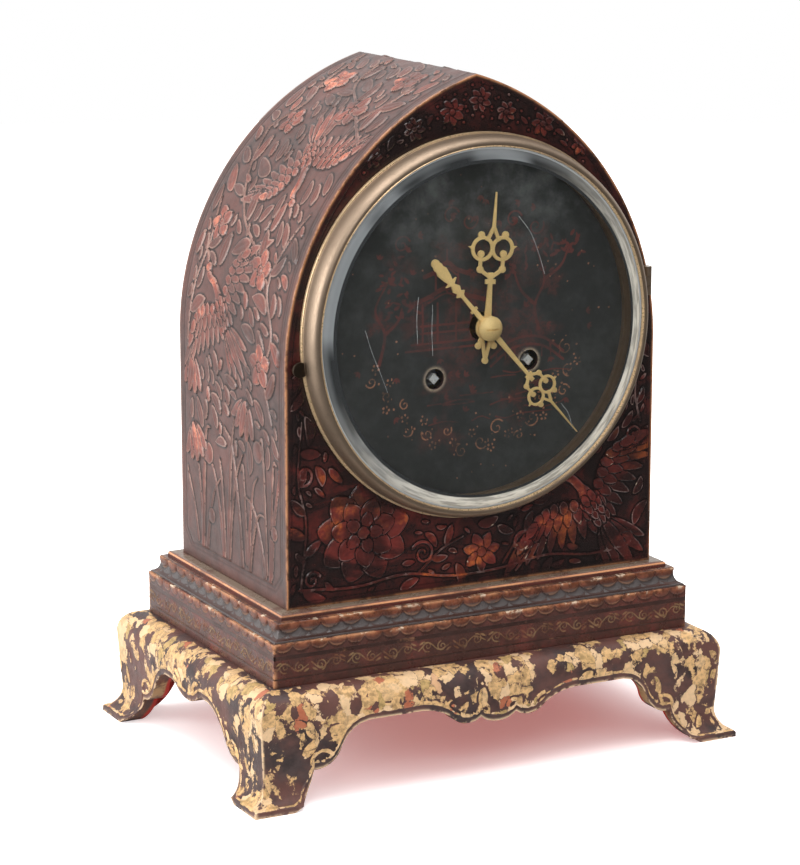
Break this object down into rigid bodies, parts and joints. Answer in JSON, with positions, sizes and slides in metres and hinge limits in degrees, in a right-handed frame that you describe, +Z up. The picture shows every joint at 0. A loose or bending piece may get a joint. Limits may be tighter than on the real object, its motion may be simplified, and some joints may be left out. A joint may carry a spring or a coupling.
{
  "type": "shelf clock",
  "caption": "Pointed-arch lacquered shelf clock on a bracket-footed stand, with a hinged glazed bezel, pierced hands, wound spring movement, pendulum and rear door.",
  "frame": {"origin": "on the floor plane, under the middle of the overall box", "axes": "+X to the viewer's right, +Y to the back, +Z up"},
  "size_m": [0.265, 0.187, 0.335],
  "materials": {
    "relief_lacquer": "gloss",
    "front_lacquer": "gloss",
    "plinth_lacquer": "satin",
    "stand_lacquer": "satin",
    "bare_wood": "matt",
    "bezel_brass": "satin",
    "glass": "polished",
    "dial_paint": "satin",
    "hand_brass": "polished",
    "movement_brass": "satin",
    "steel": "satin",
    "blued_steel": "satin",
    "iron": "matt"
  },
  "bodies": {
    "case": {"case_front_panel": "front_lacquer", "case_side_left": "relief_lacquer", "case_side_right": "relief_lacquer", "case_back_frame": "front_lacquer", "case_floor": "bare_wood", "plinth_cap": "plinth_lacquer", "plinth_moulding": "plinth_lacquer", "plinth_frieze": "plinth_lacquer", "plinth_floor": "bare_wood", "stand_front": "stand_lacquer", "stand_back": "stand_lacquer", "stand_left": "stand_lacquer", "stand_right": "stand_lacquer", "stand_corner_blocks": "bare_wood", "base_screws": "steel", "back_hinge_case_leaves": "movement_brass", "back_hinge_pins": "steel", "bezel_hinge_bracket": "bezel_brass", "bezel_hinge_pin": "steel", "bezel_seat": "bezel_brass", "dial_plate": "dial_paint", "movement_front_plate": "movement_brass", "movement_back_plate": "movement_brass", "plate_pillars": "movement_brass", "pillar_nuts": "steel", "movement_bars": "steel", "back_cock": "movement_brass", "gong_rod": "blued_steel", "gong_block": "iron"},
    "bezel": {"bezel_ring": "bezel_brass", "bezel_glass": "glass", "glass_retainer": "bezel_brass", "bezel_hinge_leaf": "bezel_brass", "bezel_tab": "bezel_brass"},
    "rear_door": {"back_door": "front_lacquer", "back_hinge_door_leaves": "movement_brass", "back_door_knob": "movement_brass"},
    "centre_set": {"centre_wheel": "movement_brass", "cannon_pinion": "steel", "minute_hand": "hand_brass", "hand_nut": "hand_brass"},
    "hour_set": {"hour_hand": "hand_brass", "hour_wheel": "movement_brass"},
    "minute_set": {"minute_wheel": "movement_brass"},
    "intermediate_set": {"intermediate_wheel": "movement_brass"},
    "third_set": {"third_wheel": "movement_brass"},
    "escape_set": {"escape_wheel": "movement_brass"},
    "going_set": {"going_barrel": "movement_brass", "going_mainspring": "blued_steel"},
    "going_arbor": {"going_winding_arbor": "steel"},
    "strike_set": {"strike_barrel": "movement_brass", "strike_mainspring": "blued_steel"},
    "strike_arbor": {"strike_winding_arbor": "steel"},
    "pin_set": {"strike_pin_wheel": "movement_brass"},
    "fly_set": {"fly": "movement_brass"},
    "pendulum": {"pallets": "steel", "pendulum_rod": "steel", "pendulum_bob": "movement_brass"},
    "nut": {"rating_nut": "movement_brass"},
    "hammer_set": {"hammer": "steel"}
  },
  "joints": [
    {"name": "bezel_hinge", "type": "hinge", "parent": "case", "child": "bezel", "pos_m": [0.0945, -0.064, 0.2303], "axis": [0, 0, 1], "range_deg": [0, 115]},
    {"name": "rear_door_hinge", "type": "hinge", "parent": "case", "child": "rear_door", "pos_m": [-0.0796, 0.0628, 0.15], "axis": [0, 0, 1], "range_deg": [0, 110]},
    {"name": "centre_turn", "type": "hinge", "parent": "case", "child": "centre_set", "pos_m": [0.0032, 0, 0.2153], "axis": [0, 1, 0], "continuous": true},
    {"name": "hour_turn", "type": "hinge", "parent": "case", "child": "hour_set", "pos_m": [0.0032, 0, 0.2153], "axis": [0, 1, 0], "continuous": true},
    {"name": "minute_wheel_turn", "type": "hinge", "parent": "case", "child": "minute_set", "pos_m": [0.0032, 0, 0.2285], "axis": [0, 1, 0], "continuous": true},
    {"name": "intermediate_turn", "type": "hinge", "parent": "case", "child": "intermediate_set", "pos_m": [0.02058, 0, 0.2174], "axis": [0, 1, 0], "continuous": true},
    {"name": "going_barrel_turn", "type": "hinge", "parent": "case", "child": "going_set", "pos_m": [0.0289, 0, 0.1965], "axis": [0, 1, 0], "continuous": true},
    {"name": "third_turn", "type": "hinge", "parent": "case", "child": "third_set", "pos_m": [-0.00512, 0, 0.22971], "axis": [0, 1, 0], "continuous": true},
    {"name": "escape_turn", "type": "hinge", "parent": "case", "child": "escape_set", "pos_m": [0.0032, 0, 0.2428], "axis": [0, 1, 0], "continuous": true},
    {"name": "going_winding_turn", "type": "hinge", "parent": "case", "child": "going_arbor", "pos_m": [0.0289, 0, 0.1965], "axis": [0, 1, 0], "continuous": true},
    {"name": "pin_wheel_turn", "type": "hinge", "parent": "case", "child": "pin_set", "pos_m": [-0.02832, 0, 0.21363], "axis": [0, 1, 0], "continuous": true},
    {"name": "strike_barrel_turn", "type": "hinge", "parent": "case", "child": "strike_set", "pos_m": [-0.0225, 0, 0.1919], "axis": [0, 1, 0], "continuous": true},
    {"name": "fly_turn", "type": "hinge", "parent": "case", "child": "fly_set", "pos_m": [-0.0311, 0, 0.22939], "axis": [0, 1, 0], "continuous": true},
    {"name": "strike_winding_turn", "type": "hinge", "parent": "case", "child": "strike_arbor", "pos_m": [-0.0225, 0, 0.1919], "axis": [0, 1, 0], "continuous": true},
    {"name": "pendulum_swing", "type": "hinge", "parent": "case", "child": "pendulum", "pos_m": [0.0032, 0.004, 0.2598], "axis": [0, 1, 0], "range_deg": [-5, 5]},
    {"name": "rating_nut_turn", "type": "hinge", "parent": "pendulum", "child": "nut", "pos_m": [0.0032, 0.004, 0.15], "axis": [0, 0, 1], "continuous": true},
    {"name": "hammer_swing", "type": "hinge", "parent": "case", "child": "hammer_set", "pos_m": [-0.0348, 0.0105, 0.1853], "axis": [0, 1, 0], "range_deg": [-15, 2.5]}
  ],
  "couplings": [
    {"joint": "hour_turn", "follows": "centre_turn", "ratio": 0.083333},
    {"joint": "minute_wheel_turn", "follows": "centre_turn", "ratio": -0.33333},
    {"joint": "intermediate_turn", "follows": "centre_turn", "ratio": -0.16667},
    {"joint": "going_barrel_turn", "follows": "centre_turn", "ratio": 0.020833},
    {"joint": "third_turn", "follows": "centre_turn", "ratio": -12},
    {"joint": "escape_turn", "follows": "centre_turn", "ratio": 144},
    {"joint": "strike_barrel_turn", "follows": "pin_wheel_turn", "ratio": -0.125},
    {"joint": "fly_turn", "follows": "pin_wheel_turn", "ratio": -9}
  ]
}
